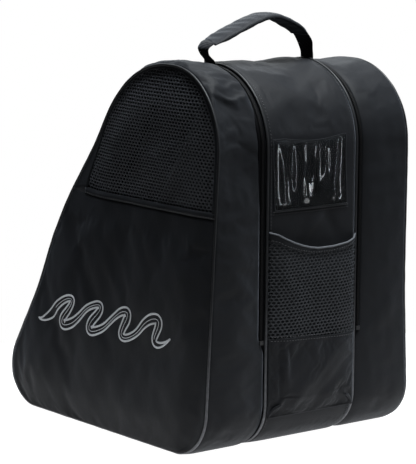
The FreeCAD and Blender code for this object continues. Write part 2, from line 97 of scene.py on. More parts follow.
class Outline:
    """A closed polygon with rounded corners in the (y, z) plane, travelled clockwise
    from the middle of its last side.  Its runs are arcs, with their centres, and lines,
    with their directions and no radius."""

    STEPS = 6001

    def __init__(self, corners, radii):
        corners = np.array(corners, float)
        arcs = []
        for i, radius in enumerate(radii):
            back = corners[i - 1] - corners[i]
            ahead = corners[(i + 1) % len(corners)] - corners[i]
            back /= np.linalg.norm(back)
            ahead /= np.linalg.norm(ahead)
            half = math.acos(float(back @ ahead)) / 2
            middle = back + ahead
            centre = corners[i] + middle / np.linalg.norm(middle) * radius / math.sin(half)
            reach = radius / math.tan(half)
            start, end = corners[i] + back * reach, corners[i] + ahead * reach
            arcs.append((start, end, centre, radius, math.pi - 2 * half))
        self.runs = []
        self.total = 0.0
        here = closing = (arcs[-1][1] + arcs[0][0]) / 2
        for start, end, centre, radius, turn in arcs:
            self.add_line(here, start)
            self.runs.append((self.total, radius * turn, start, centre, radius))
            self.total += radius * turn
            here = end
        self.add_line(here, closing)
        s = np.linspace(0, self.total, self.STEPS)
        z = self.at(s)[0][:, 1]
        top = int(np.argmax(z))
        self.front_table = (z[:top], s[:top])
        self.rear_table = (z[top:][::-1], s[top:][::-1])

    def add_line(self, start, end):
        length = float(np.linalg.norm(end - start))
        self.runs.append((self.total, length, start, (end - start) / length, 0))
        self.total += length

    def at(self, s):
        """Points and outward normals at distances s along the outline."""
        s = np.mod(np.atleast_1d(s), self.total)
        points = np.zeros((len(s), 2))
        normals = np.zeros((len(s), 2))
        for begin, length, start, way, radius in self.runs:
            inside = (s >= begin - 1e-9) & (s <= begin + length + 1e-9)
            along = s[inside] - begin
            if radius:
                arm = start - way
                angle = math.atan2(arm[1], arm[0]) - along / radius
                ray = np.stack([np.cos(angle), np.sin(angle)], 1)
                points[inside] = way + radius * ray
                normals[inside] = ray
            else:
                points[inside] = start + along[:, None] * way
                normals[inside] = (-way[1], way[0])
        return points, normals

    def front_s(self, z):
        """The distance along the outline where its front reaches a height."""
        return np.interp(z, *self.front_table)

    def rear_s(self, z):
        return np.interp(z, *self.rear_table)

    def row_ends(self, z, inset):
        """The front and rear y of a level row, on the outline moved inwards."""
        points, normals = self.at(np.linspace(0, self.total, self.STEPS))
        points = points - normals * inset
        top = int(np.argmax(points[:, 1]))
        front = np.interp(z, points[:top, 1], points[:top, 0])
        rear = np.interp(z, points[top:, 1][::-1], points[top:, 0][::-1])
        return front, rear


# Both start at the front of the base; the radii are in the same order as the corners.
SIDE = Outline(
    [(-HALF_DEPTH, 0), (-HALF_DEPTH, HEIGHT), (REAR_TOP_Y, HEIGHT), (HALF_DEPTH, 0)],
    [48.0, 80.0, 115.0, 43.0],
)
MESH_EDGE = Outline(
    [(-178, MESH_BASE), (-178, 375.5), (-18, 375.5), (24, MESH_BASE)], [3, 75, 110, 3]
)
EDGE_POINTS = SIDE.at(np.linspace(0, SIDE.total, 700))[0]

# === Small tools ===


def ease(x, low, high):
    """A smooth rise from 0 at low to 1 at high."""
    t = np.clip((np.asarray(x, float) - low) / (high - low), 0, 1)
    return t * t * (3 - 2 * t)


WAVES = 7


def ripples(a, b, seed, wavelength):
    """Smooth, repeatable unevenness over a surface measured by a and b."""
    rng = np.random.default_rng(seed)
    total = 0.0
    for _ in range(WAVES):
        angle = rng.uniform(0, 2 * math.pi)
        length = wavelength * rng.uniform(0.6, 1.7)
        phase = rng.uniform(0, 2 * math.pi)
        along = a * math.cos(angle) + b * math.sin(angle)
        total = total + np.sin(2 * math.pi * along / length + phase)
    return total / math.sqrt(WAVES)


def folds(a, b, rows):
    """Soft creases, each from a start to an end: ridges, or valleys of negative height."""
    total = 0.0
    for start, end, width, height in rows:
        start = np.array(start, float)
        run = np.array(end, float) - start
        t = ((a - start[0]) * run[0] + (b - start[1]) * run[1]) / (run @ run)
        t = np.clip(t, 0, 1)
        gap = np.hypot(a - start[0] - t * run[0], b - start[1] - t * run[1])
        fade = 0.35 + 0.65 * np.sin(math.pi * t)
        total = total + height * np.exp(-((gap / width) ** 2)) * fade
    return total


def unit(vectors):
    return vectors / np.linalg.norm(vectors, axis=1)[:, None]


def mirrored(points, sign):
    """The left-hand points, or their mirror image for the right."""
    return points * np.array([1.0 if sign < 0 else -1.0, 1.0, 1.0])


# x of each rise of the slack top, with its half width and its height.
TOP_SAGS = [(92, 24, -6.0), (8, 27, -4.5), (-108, 16, 3.0)]
REAR_SWELL = 8.0
RIGHT_LEAN = 8.0


def settle(points):
    """How the filled-out, standing bag departs from its cut shape: the rear slope swells,
    the top sags between its seams, and the right side leans out a little more."""
    points = np.array(points, float)
    x, y, z = points.T.copy()
    gap = (HALF_DEPTH - REAR_FALL * z - y) / math.hypot(1, REAR_FALL)
    swell = REAR_SWELL * ease(z, 118, 200) * (1 - ease(z, 215, 305))
    swell = swell * (1 - ease(gap, 5, 32))
    points[:, 1] += 0.87 * swell
    points[:, 2] += 0.49 * swell
    points[:, 0] += RIGHT_LEAN * ease(x, 62, 112) * ease(z, 120, 330)
    sag = sum(rise * np.exp(-(((x - at) / width) ** 2)) for at, width, rise in TOP_SAGS)
    roots = np.exp(-(((np.abs(x) - 60) / 9) ** 2) - ((y - HANDLE_Y) / 16) ** 2)
    lift = (sag + 1.6 * roots * (x > 0)) * ease(z, 325, 376)
    points[:, 2] += lift * (1 - ease(z, 381.5, 386))
    return points


BAG_MIDDLE = (0.0, -0.02, 0.19)


def read(items, attribute):
    """A vector attribute of every item of a mesh, as rows."""
    values = np.empty(len(items) * 3)
    items.foreach_get(attribute, values)
    return values.reshape(-1, 3)


def add_object(name, vertices, faces, uvs, solid=False):
    """A mesh object from points in mm, with uvs in metres.  A sheet's faces are turned
    away from the inside of the bag, and a solid's away from its own."""
    mesh = bpy.data.meshes.new(name)
    mesh.from_pydata((settle(vertices) * MM).tolist(), [], faces)
    layer = mesh.uv_layers.new(name="cloth")
    layer.data.foreach_set("uv", np.asarray(uvs, np.float32).ravel())
    if solid:
        shape = bmesh.new()
        shape.from_mesh(mesh)
        bmesh.ops.recalc_face_normals(shape, faces=shape.faces)
        shape.to_mesh(mesh)
        shape.free()
    else:
        away = read(mesh.polygons, "center") - BAG_MIDDLE
        if (away * read(mesh.polygons, "normal")).sum() < 0:
            mesh.flip_normals()
    mesh.polygons.foreach_set("use_smooth", [True] * len(mesh.polygons))
    mesh.update()
    thing = bpy.data.objects.new(name, mesh)
    bpy.context.collection.objects.link(thing)
    return thing


def cells(rows, columns):
    """The four corners of every cell of a grid, as row and column numbers."""
    i, j = np.meshgrid(np.arange(rows), np.arange(columns), indexing="ij")
    i, j = i.ravel(), j.ravel()
    return [(i, j), (i, j + 1), (i + 1, j + 1), (i + 1, j)]


def grid(name, points, cloth, closed=False):
    """A sheet from points (rows, columns, 3) and the flat place of each on its cloth,
    which has one row more if the sheet is closed."""
    rows, columns = points.shape[:2]
    first, *rest = cells(rows if closed else rows - 1, columns - 1)
    ring = [first] + rest[::-1]
    faces = np.stack([(a % rows) * columns + b for a, b in ring], 1)
    uvs = np.stack([cloth[a, b] for a, b in ring], 1) * MM
    return add_object(name, points.reshape(-1, 3), faces.tolist(), uvs)


def tube(name, points, uv_at, closed=False):
    """A solid from rings of points (rings, around, 3); an open one gets flat ends."""
    count, around = points.shape[:2]
    ring = cells(count if closed else count - 1, around)
    faces = np.stack([(a % count) * around + b % around for a, b in ring], 1).tolist()
    uvs = np.stack([uv_at(a, b) for a, b in ring], 1).reshape(-1, 2)
    if not closed:
        ends = np.arange(around)[::-1], (count - 1) * around + np.arange(around)
        faces += [end.tolist() for end in ends]
        uvs = np.vstack([uvs, np.zeros((2 * around, 2))])
    return add_object(name, points.reshape(-1, 3), faces, uvs * MM, solid=True)


def bead(name, path, across, out, half_across, half_out, closed=True, sides=10):
    """A bead of elliptical section along a path; across and out are square to it."""
    count = len(path)
    across, out = np.broadcast_to(across, path.shape), np.broadcast_to(out, path.shape)
    angle = np.linspace(0, 2 * math.pi, sides, endpoint=False)
    wide = np.cos(angle)[None, :, None] * across[:, None, :]
    high = np.sin(angle)[None, :, None] * out[:, None, :]
    wide = wide * np.broadcast_to(half_across, count).reshape(-1, 1, 1)
    high = high * np.broadcast_to(half_out, count).reshape(-1, 1, 1)
    step = np.linalg.norm(np.roll(path, -1, 0) - path, axis=1)
    along = np.concatenate([[0], np.cumsum(step)])
    turn = math.pi * (np.mean(half_across) + np.mean(half_out)) / sides
    points = path[:, None, :] + wide + high
    return tube(name, points, lambda a, b: np.stack([along[a], b * turn], 1), closed)


def thicken(thing, thickness, inner_material=None):
    """Give a sheet its thickness, inwards from its outer face."""
    solid = thing.modifiers.new("thickness", "SOLIDIFY")
    solid.thickness = thickness * MM
    solid.offset = -1
    solid.use_even_offset = True
    if inner_material is not None:
        thing.data.materials.append(inner_material)
        solid.material_offset = 1
    bpy.context.view_layer.objects.active = thing
    bpy.ops.object.modifier_apply(modifier=solid.name)


RELAX_FRAMES = 16
WEIGHT_LEVELS = 20
CLOTH_SETTINGS = {
    "quality": 6,
    "mass": 0.1,
    "tension_stiffness": 12,
    "compression_stiffness": 12,
    "shear_stiffness": 6,
    "bending_stiffness": 0.3,
    "vertex_group_mass": "held",
    "vertex_group_shrink": "taut",
    "shrink_max": 0.0,
}


def relax(thing, held, growth, slack=None, cap=2.4):
    """Let a sheet cut too big find its own folds, in a short cloth simulation.  held is 1
    on vertices that stay, growth is how much too big it is, slack from 0 to 1 says where,
    and cap is the furthest that a vertex may move."""
    mesh = thing.data
    taut = np.zeros(held.shape) if slack is None else 1 - slack
    start = read(mesh.vertices, "co")
    for name, weights in (("held", held), ("taut", taut)):
        group = thing.vertex_groups.new(name=name)
        level = np.round(np.clip(weights.ravel(), 0, 1) * WEIGHT_LEVELS).astype(int)
        for step in range(1, WEIGHT_LEVELS + 1):
            chosen = np.flatnonzero(level == step).tolist()
            if chosen:
                group.add(chosen, step / WEIGHT_LEVELS, "REPLACE")
    modifier = thing.modifiers.new("Cloth", "CLOTH")
    for key, value in CLOTH_SETTINGS.items():
        setattr(modifier.settings, key, value)
    modifier.settings.shrink_min = -growth
    modifier.settings.effector_weights.gravity = 0.0
    modifier.collision_settings.use_collision = False
    modifier.point_cache.frame_start = 1
    modifier.point_cache.frame_end = RELAX_FRAMES
    scene = bpy.context.scene
    for number in range(1, RELAX_FRAMES + 1):
        scene.frame_set(number)
    found = thing.evaluated_get(bpy.context.evaluated_depsgraph_get())
    shift = read(found.data.vertices, "co") - start
    thing.modifiers.remove(modifier)
    scene.frame_set(1)
    size = np.linalg.norm(shift, axis=1)
    limit = cap * MM
    scale = limit * np.tanh(size / limit) / np.maximum(size, 1e-9)
    mesh.vertices.foreach_set("co", (start + shift * scale[:, None]).ravel())
    mesh.update()
    thing.vertex_groups.clear()


def pinned_edges(shape, sides=2, low=2, high=2):
    """Weights of a sheet sewn down along its edges, over the given rows and columns."""
    held = np.zeros(shape)
    held[:, :sides] = held[:, -sides:] = 1.0
    held[:low] = held[shape[0] - high:] = 1.0
    return held


# === Materials ===


class Paint:
    """A node material being put together around one Principled shader."""

    def __init__(self, name):
        self.material = bpy.data.materials.new(name)
        self.material.use_nodes = True
        self.tree = self.material.node_tree
        self.shader = self.tree.nodes["Principled BSDF"]

    def feed(self, socket, value):
        if isinstance(value, bpy.types.NodeSocket):
            self.tree.links.new(value, socket)
        else:
            socket.default_value = value

    def set(self, **values):
        for key, value in values.items():
            self.feed(self.shader.inputs[key.replace("_", " ")], value)
        return self.material

    def node(self, kind, inputs, output=0, **settings):
        made = self.tree.nodes.new("ShaderNode" + kind)
        for key, value in settings.items():
            setattr(made, key, value)
        for key, value in inputs.items():
            self.feed(made.inputs[key], value)
        return made.outputs[output]

    def calc(self, operation, first, second=0.0):
        return self.node("Math", {0: first, 1: second}, operation=operation)

    def mean(self, first, second):
        return self.calc("MULTIPLY", self.calc("ADD", first, second), 0.5)

    def spread(self, value, low, high, start=0.0, end=1.0):
        """A value from start to end, stretched to run from low to high."""
        return self.node("MapRange", {0: value, 1: start, 2: end, 3: low, 4: high})

    def between(self, factor, dark, light):
        """A mix of two colours, each three numbers or another node's output."""
        ends = [c if isinstance(c, bpy.types.NodeSocket) else (*c, 1.0) for c in (dark, light)]
        return self.node("Mix", {0: factor, 6: ends[0], 7: ends[1]}, 2, data_type="RGBA")

    def noise(self, where, scale, detail=4.0, roughness=0.6):
        inputs = {"Vector": where, "Scale": scale, "Detail": detail, "Roughness": roughness}
        return self.node("TexNoise", inputs)

    def cloth(self):
        return self.node("UVMap", {}, uv_map="cloth")

    def place(self):
        return self.node("TexCoord", {}, output=3)

    def weave(self, where, pitch):
        """The height of an over-and-under weave of the given thread pitch, 0 to 1."""
        waves = []
        for axis in (0, 1):
            along = self.node("SeparateXYZ", {0: where}, axis)
            waves.append(self.calc("SINE", self.calc("MULTIPLY", along, math.pi / pitch)))
        crossing = self.calc("MULTIPLY", *waves)
        return self.calc("ADD", self.calc("MULTIPLY", crossing, 0.5), 0.5)

    def bump(self, height, distance, strength, normal=None):
        inputs = {"Height": height, "Distance": distance, "Strength": strength}
        if normal is not None:
            inputs["Normal"] = normal
        return self.node("Bump", inputs)


def woven(name, dark, light, pitch=0.0008, sheen=0.25, gloss=0.12, relief=0.00012):
    """Woven synthetic cloth: threads, faint slubs, uneven dye and a soft sheen."""
    paint = Paint(name)
    threads = paint.weave(paint.cloth(), pitch)
    slubs = paint.noise(paint.cloth(), 900.0, 3.0)
    cloud = paint.noise(paint.place(), 14.0, 5.0)
    height = paint.calc("ADD", threads, paint.calc("MULTIPLY", slubs, 0.6))
    creases = paint.noise(paint.place(), 60.0, 6.0)
    return paint.set(
        Base_Color=paint.between(paint.mean(threads, cloud), dark, light),
        Roughness=paint.spread(slubs, 0.5, 0.72),
        Specular_IOR_Level=gloss,
        Sheen_Weight=sheen,
        Sheen_Roughness=0.4,
        Sheen_Tint=(0.75, 0.82, 0.95, 1.0),
        Normal=paint.bump(height, relief, 0.8, paint.bump(creases, 0.0012, 0.35)),
    )


def glossy_bead(name, dark, light, roughness, gloss=0.5, painted_highlight=None):
    """Smooth coated piping, rubbed along its crest, with a painted highlight that makes it
    paler near the ground.
    """
    paint = Paint(name)
    rub = paint.noise(paint.cloth(), 220.0, 5.0)
    colour = paint.between(rub, dark, light)
    # Near the ground the colour is lifted toward a pale grey: a painted highlight of the lamps'
    # glint on the low piping.
    if painted_highlight:
        height = paint.node("SeparateXYZ", {0: paint.place()}, output=2)
        low = paint.spread(height, 1.0, 0.0, 0.03, 0.15)
        colour = paint.between(paint.calc("MULTIPLY", low, rub), colour, painted_highlight)
    return paint.set(
        Base_Color=colour,
        Roughness=paint.spread(rub, roughness - 0.06, roughness + 0.12),
        Specular_IOR_Level=gloss,
        Normal=paint.bump(paint.weave(paint.cloth(), 0.0007), 0.00008, 0.5),
    )


def mottled(name, dark, light, mottle, rough, relief, grain=None, threads=0, **values):
    """A hard material whose colour and gloss follow one noise, and whose relief follows
    another where grain is given.  Ink also takes its colour from the threads under it."""
    paint = Paint(name)
    mottle = paint.noise(paint.place(), *mottle)
    tone = paint.mean(paint.weave(paint.place(), threads), mottle) if threads else mottle
    surface = paint.noise(paint.place(), *grain) if grain else mottle
    return paint.set(
        Base_Color=paint.between(tone, dark, light),
        Roughness=paint.spread(mottle, *rough),
        Normal=paint.bump(surface, *relief),
        **values,
    )


SHELL = woven("shell_cloth", (0.0040, 0.0044, 0.0054), (0.0098, 0.0108, 0.0130), sheen=0.1)
BAND = woven("band_cloth", (0.0042, 0.0045, 0.0054), (0.0105, 0.0113, 0.0133), sheen=0.1)
LINING = woven("lining_cloth", (0.010, 0.010, 0.011), (0.020, 0.020, 0.022), 0.0012, 0.1, 0.1)
NET = woven("net_yarn", (0.018, 0.019, 0.022), (0.044, 0.047, 0.053), 0.0004, 0.2, 0.25)
# The pocket's net is the window net's yarn painted about a third darker: painted shade for the
# pocket's lamp-lit front.
SHADED_POCKET_NET = woven(
    "pocket_net_shaded_yarn", (0.011, 0.012, 0.014), (0.028, 0.030, 0.034), 0.0004, 0.1, 0.2
)
WEBBING = woven(
    "webbing", (0.004, 0.004, 0.0045), (0.010, 0.010, 0.011), 0.0022, 0.2, 0.15, 0.0004
)
GRIP = woven("grip_cloth", (0.0065, 0.007, 0.0085), (0.0140, 0.0150, 0.0175))
TAPE = woven("zip_tape", (0.0012, 0.0012, 0.0015), (0.003, 0.003, 0.0035), 0.0009, 0.02, 0.04)
BINDING = woven("binding_tape", (0.055, 0.058, 0.065), (0.14, 0.147, 0.16), 0.0011, 0.2, 0.15)
THREAD = glossy_bead("thread", (0.010, 0.0105, 0.012), (0.035, 0.036, 0.040), 0.5)
# The last colour is a painted highlight: the pale grey that the piping is painted near the
# ground.
PIPING = glossy_bead(
    "piping_cord", (0.005, 0.0055, 0.0065), (0.012, 0.013, 0.015), 0.5, 0.3, (0.16, 0.165, 0.18)
)
COIL = glossy_bead("zip_coil", (0.0015, 0.0015, 0.0018), (0.004, 0.004, 0.0045), 0.55, 0.12)
FILM = mottled(
    "clear_film", (0.88, 0.95, 1.0), (0.95, 0.98, 1.0), (45.0, 5.0), (0.03, 0.1),
    (0.0003, 0.08), (60.0, 2.0), IOR=1.5, Transmission_Weight=1.0,
)
METAL = mottled(
    "slider_metal", (0.012, 0.012, 0.013), (0.05, 0.05, 0.052), (380.0, 6.0), (0.28, 0.5),
    (0.00005, 0.4), (1400.0, 3.0), Metallic=0.7,
)
BOARD = mottled(
    "board", (0.012, 0.012, 0.013), (0.05, 0.048, 0.046), (500.0, 8.0, 0.8), (0.7, 0.95),
    (0.0002, 0.6), Specular_IOR_Level=0.2,
)
INK = mottled(
    "printed_ink", (0.22, 0.23, 0.25), (0.75, 0.77, 0.80), (700.0, 4.0), (0.45, 0.65),
    (0.00008, 0.5), threads=0.0008, Specular_IOR_Level=0.25,
)

# === Surfaces the pieces lie on ===

# Creases of the sides in (y, z), and of the gussets in (x, s): start, end, half width
# and height.
SIDE_FOLDS = {
    "left": [
        ((150, 20), (60, 70), 16, 1.2),
        ((-160, 25), (-110, 95), 14, 1.0),
        ((120, 110), (20, 60), 22, -0.9),
        ((-40, 230), (-150, 180), 18, 0.9),
        ((60, 215), (10, 150), 15, -0.7),
    ],
    "right": [
        ((140, 25), (70, 60), 16, 1.1),
        ((-165, 40), (-100, 90), 15, 1.0),
        ((60, 190), (-60, 160), 20, -0.9),
    ],
}
GUSSET_FOLDS = {
    "left": [
        ((-118, 560), (-72, 610), 9, 1.4),
        ((-70, 520), (-112, 500), 10, -0.8),
        ((-120, 250), (-70, 300), 12, 0.9),
        ((-124, 180), (-80, 200), 10, 1.0),
    ],
    "right": [
        ((-118, 575), (-72, 540), 9, 1.3),
        ((-110, 470), (-72, 430), 12, -0.9),
        ((-122, 300), (-75, 260), 12, 0.8),
    ],
}
SIDE_SEEDS = {"left": 11, "right": 12}
GUSSET_SEEDS = {"left": 31, "right": 32}
BASE_GAP = 0.15


def side_point(sign, y, z, out):
    """A point of the tilted side; z is measured up the side, out is off its face."""
    x = -HALF_WIDTH + z * SIN_TILT - out * COS_TILT
    return mirrored(np.stack([x, y, z * COS_TILT + out * SIN_TILT], -1), sign)


def off_side(sign):
    return mirrored(np.array([-COS_TILT, 0.0, SIN_TILT]), sign)


def edge_distance(y, z):
    """How far points of the side are from its rim."""
    flat = np.stack([np.ravel(y), np.ravel(z)], 1)
    found = []
    for part in np.array_split(flat, max(1, len(flat) // 2000)):
        gap = part[:, None, :] - EDGE_POINTS[None]
        found.append(np.sqrt((gap**2).sum(2)).min(1))
    return np.concatenate(found).reshape(np.shape(y))


def side_out(side, y, z):
    """How far the side's cloth stands off its flat face."""
    gap = edge_distance(y, z)
    seed = SIDE_SEEDS[side]
    waves = 0.7 * ripples(y, z, seed, 95) + 0.3 * ripples(y, z, seed + 20, 38)
    loose = ease(gap, 5, 35)
    crown = -1.4 + 5.0 * ease(gap, -2, 40)
    return crown + loose * (waves + folds(y, z, SIDE_FOLDS[side]))


def cloth_point(side, sign, y, z, out=0.0):
    """A point on or off the side's cloth, before that cloth finds its own folds."""
    return side_point(sign, y, z, side_out(side, y, z) + out)


def loop_point(sign, x, s, out):
    """A point of the band or gusset: x from the middle, s along the outline."""
    points, normals = SIDE.at(s)
    flat = points + normals * np.reshape(np.broadcast_to(out, len(s)), (-1, 1))
    flat[:, 1] = np.maximum(flat[:, 1], BASE_GAP)
    return mirrored(np.stack([np.broadcast_to(x, len(flat)), flat[:, 0], flat[:, 1]], 1), sign)


def off_loop(s):
    normals = SIDE.at(s)[1]
    return np.stack([np.zeros(len(s)), normals[:, 0], normals[:, 1]], 1)


def standing(s):
    """1 on the walls and the top, falling to 0 where the cloth lies on the ground."""
    return 1 - ease(-SIDE.at(s)[1][:, 1], 0.3, 0.95)


def flat_on_base(s, out):
    """Bulges die away where the cloth lies on the ground."""
    return np.where(out > 0, out * standing(s), out)


def loop_sheet(name, sign, s, lines, closed=False):
    """A sheet that follows the outline, from the x and out of each line along it."""
    points = np.stack([loop_point(sign, x, s, flat_on_base(s, out)) for x, out in lines], 1)
    x = np.stack([np.broadcast_to(x, len(s)) for x, _ in lines], 1)
    if closed:
        x, s = np.vstack([x, x[:1]]), np.append(s, SIDE.total)
    cloth = np.stack([x, np.broadcast_to(s[:, None], x.shape)], -1)
    return grid(name, points, cloth, closed)


def side_sheet(name, side, sign, y, z, out=0.0):
    """A sheet on the side's cloth, from rows and columns of y and z."""
    return grid(name, cloth_point(side, sign, y, z, out), np.stack([y, z], -1))


def tangents(path, closed=False):
    if closed:
        return unit(np.roll(path, -1, 0) - np.roll(path, 1, 0))
    return unit(np.gradient(path, axis=0))


def cord(name, path, out, half_across, half_out, closed=False, sides=10):
    """A bead that lies across the direction out all along its path."""
    across = np.cross(tangents(path, closed), out)
    return bead(name, path, across, out, half_across, half_out, closed, sides)


def dress(thing, material, nodes=(), body=None, wall=0.0, lining=None):
    """Give a piece its material, slot and thickness, hide its CAD nodes, and hang it on
    the body that it rides; a side's name only bakes its placement into its mesh."""
    thing.data.materials.clear()
    thing.data.materials.append(material)
    if nodes:
        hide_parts(*nodes)
    if wall:
        thicken(thing, wall, lining)
    if body in SIDES:
        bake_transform(thing)
    elif body:
        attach(thing, body)
    return thing


# === Compartments: a closed strip of gusset, and a side with its mesh window ===

# The left side is slack and crumpled at its top front, the right one is nearly taut.
EXTRA_CLOTH = {"left": 0.045, "right": 0.006}
CRUMPLE = {"left": 1.0, "right": 0.15}
GUSSET_INNER_X = -59.5
ZIP_MARGIN = 6.3
RIM_OVERLAP = 1.9


ZIP_BEGIN = SIDE.front_s(ZIP_FRONT_Z)
ZIP_END = SIDE.rear_s(ZIP_REAR_Z)


def gusset(side, sign):
    rows, columns = 620, 29
    s = np.linspace(0, SIDE.total, rows, endpoint=False)
    base, normals = SIDE.at(s)
    base_z = base[:, 1]
    beside_zip = ease(s, ZIP_BEGIN - 14, ZIP_BEGIN + 4)
    beside_zip = beside_zip * (1 - ease(s, ZIP_END - 4, ZIP_END + 14))
    inner = GUSSET_INNER_X - ZIP_MARGIN * beside_zip
    outer = -HALF_WIDTH + base_z * math.tan(SIDE_TILT) + RIM_OVERLAP
    seed = GUSSET_SEEDS[side]
    lines = []
    slack = np.zeros((rows, columns))
    for column, t in enumerate(np.arange(columns) / (columns - 1)):
        x = inner + (outer - inner) * t
        waves = 0.5 * ripples(x, s, seed, 70) + 0.25 * ripples(x, s, seed + 5, 26)
        z = base_z + 3.0 * ripples(x, s, seed + 40, 28)
        puff = 2.4 * ease(z, 342, 354) * (1 - ease(z, 358, 380))
        puff -= 6.0 * (1 - ease(z, 322, 352)) * ease(z, 190, 318)
        waves = waves + CRUMPLE[side] * puff * ease(-normals[:, 0], 0.05, 0.5)
        arch = math.sin(math.pi * t) ** 0.6
        out = arch * (3.0 + waves + folds(x, s, GUSSET_FOLDS[side]))
        out = -1.3 - 1.6 * (1 - t) ** 8 + out
        lines.append((x, out))
        slack[:, column] = 0.08 + 0.92 * ease(z, 340, 356)
    held = pinned_edges((rows, columns), low=0, high=0)
    held = np.maximum(held, 1 - ease(base_z, 4, 16)[:, None])
    thing = loop_sheet(side + "_gusset_cloth", sign, s, lines, closed=True)
    relax(thing, held, EXTRA_CLOTH[side], slack)
    nodes = [side + "_gusset", side + "_tray_gusset"]
    dress(thing, SHELL, nodes, side, WALL, LINING)


SIDE_SURFACE = {}


def on_side_cloth(side, path, out, lift):
    """Lay points, in mm, on the side's finished cloth; out is the way off it."""
    shift = settle(path) - path
    away = Vector(out)
    found = []
    for spot in (path + shift) * MM:
        hit = SIDE_SURFACE[side].ray_cast(Vector(spot) + away * 0.02, -away, 0.04)[0]
        found.append(np.array(hit if hit is not None else spot) / MM)
    return np.array(found) - shift + out * lift


def side_cloth(side, sign):
    """The padded cloth below the mesh window, and the strip round the window."""
    near_base = 2.4 + 24 * np.linspace(0, 1, 16) ** 1.6
    levels = np.concatenate([near_base, np.linspace(29, HEM_Z, 64)])
    front, rear = SIDE.row_ends(levels, SEAM_INSET)
    y = front[:, None] + (rear - front)[:, None] * np.linspace(0, 1, 110)[None, :]
    z = np.broadcast_to(levels[:, None], y.shape)
    sheet = side_sheet(side + "_side_cloth", side, sign, y, z)
    held = pinned_edges(y.shape)
    held[-10:, :] = np.maximum(held[-10:, :], np.linspace(0, 1, 10)[:, None])
    relax(sheet, held, 0.006, cap=1.6)
    corners = [tuple(v.co) for v in sheet.data.vertices]
    faces = [tuple(f.vertices) for f in sheet.data.polygons]
    SIDE_SURFACE[side] = BVHTree.FromPolygons(corners, faces)
    t = np.linspace(0, 1, 190)
    begin, end = SIDE.front_s(HEM_Z), SIDE.rear_s(HEM_Z)
    rim, rim_normal = SIDE.at(begin + (end - begin) * t)
    rim = rim - rim_normal * SEAM_INSET
    begin, end = MESH_EDGE.front_s(MESH_BASE + 3.2), MESH_EDGE.rear_s(MESH_BASE + 3.2)
    hole = MESH_EDGE.at(begin + (end - begin) * t)[0]
    hole[[0, -1], 1] = HEM_Z
    flat = rim[:, None, :] + (hole - rim)[:, None, :] * np.linspace(0, 1, 9)[None, :, None]
    border = side_sheet(side + "_side_border", side, sign, flat[..., 0], flat[..., 1])
    layers = ("tray_panel", "side_panel", "tray_lining", "side_lining")
    nodes = [f"{side}_{layer}" for layer in layers]
    dress(sheet, SHELL, nodes, side, SIDE_WALL, LINING)
    dress(border, SHELL, (), side, BORDER_WALL, LINING)


def hem(side, sign):
    """The folded edge of cloth under the mesh window."""
    section = [(-1.0, 238.4), (0.3, 239.4), (0.5, 242.5), (0.4, 244.6), (-1.2, 245.4)]
    out, z = np.array(section).T
    y, z = np.meshgrid(np.linspace(-182.0, 25.5, 120), z, indexing="ij")
    thing = side_sheet(side + "_hem_fold", side, sign, y, z, out)
    dress(thing, SHELL, [side + "_mesh_hem"], side + "_shell", 0.8)


# The corners of a net's cell, as shares of its pitches, and the directions of its hole's.
CELL = np.array([(0, 0.64), (-0.5, 0.36), (-0.5, -0.36), (0, -0.64), (0.5, -0.36), (0.5, 0.36)])
HOLE_ANGLES = np.radians([90, 150, 210, 270, 330, 30])
NET_WALL = 0.35


def net(name, inside, place, pitch, hole, relief):
    """Knitted net with six-sided holes.  inside(a, b) says which cells are kept, and
    place(a, b, out) lays a point on its surface."""
    row, column = np.meshgrid(np.arange(-200, 200), np.arange(-200, 200), indexing="ij")
    a, b = ((column + 0.5 * (row % 2)) * pitch[0]).ravel(), (row * pitch[1]).ravel()
    centres = np.stack([a, b], 1)[inside(a, b)][:, None, :]
    border = centres + CELL[None] * pitch
    spokes = np.stack([np.cos(HOLE_ANGLES), np.sin(HOLE_ANGLES)], 1)
    rim = centres + spokes[None] * (hole[0] / 2, hole[1] / 2)
    keys = np.round(border.reshape(-1, 2) * 100).astype(int)
    _, first, index = np.unique(keys, axis=0, return_index=True, return_inverse=True)
    shared = border.reshape(-1, 2)[first]
    index = index.reshape(border.shape[:2])
    rim_index = len(shared) + np.arange(rim.shape[0] * 6).reshape(-1, 6)
    beside = np.roll(np.arange(6), -1)
    faces = np.stack([index, index[:, beside], rim_index[:, beside], rim_index], -1)
    faces = faces.reshape(-1, 4)
    flat = np.vstack([shared, rim.reshape(-1, 2)])
    out = np.concatenate([np.full(len(shared), relief), np.zeros(len(rim) * 6)])
    points = place(flat[:, 0], flat[:, 1], out)
    return add_object(name, points, faces.tolist(), flat[faces] * MM)


def mesh_window(side, sign):
    edge_y, edge_z = MESH_EDGE.at(np.linspace(0, MESH_EDGE.total, 500))[0].T
    next_y, next_z = np.roll(edge_y, -1), np.roll(edge_z, -1)

    def inside(y, z):
        """Cells within the window's edge, or just outside it, under the cloth round it."""
        found = (y > edge_y.min() - 5) & (y < edge_y.max() + 5)
        found &= (z > MESH_BASE - 5) & (z < edge_z.max() + 5)
        y, z = y[found, None], z[found, None]
        spans = (edge_z > z) != (next_z > z)
        rise = np.where(spans, next_z - edge_z, 1.0)
        cross = edge_y + (z - edge_z) * (next_y - edge_y) / rise
        within = (spans & (y < cross)).sum(1) % 2 == 1
        found[found] = within | (np.hypot(edge_y - y, edge_z - z).min(1) < 2.4)
        return found

    def place(y, z, out):
        return cloth_point(side, sign, y, z, out - 1.3)

    thing = net(side + "_window_net", inside, place, (4.8, 3.2), (3.9, 2.7), 0.3)
    dress(thing, NET, [side + "_mesh_window"], side + "_shell", NET_WALL)


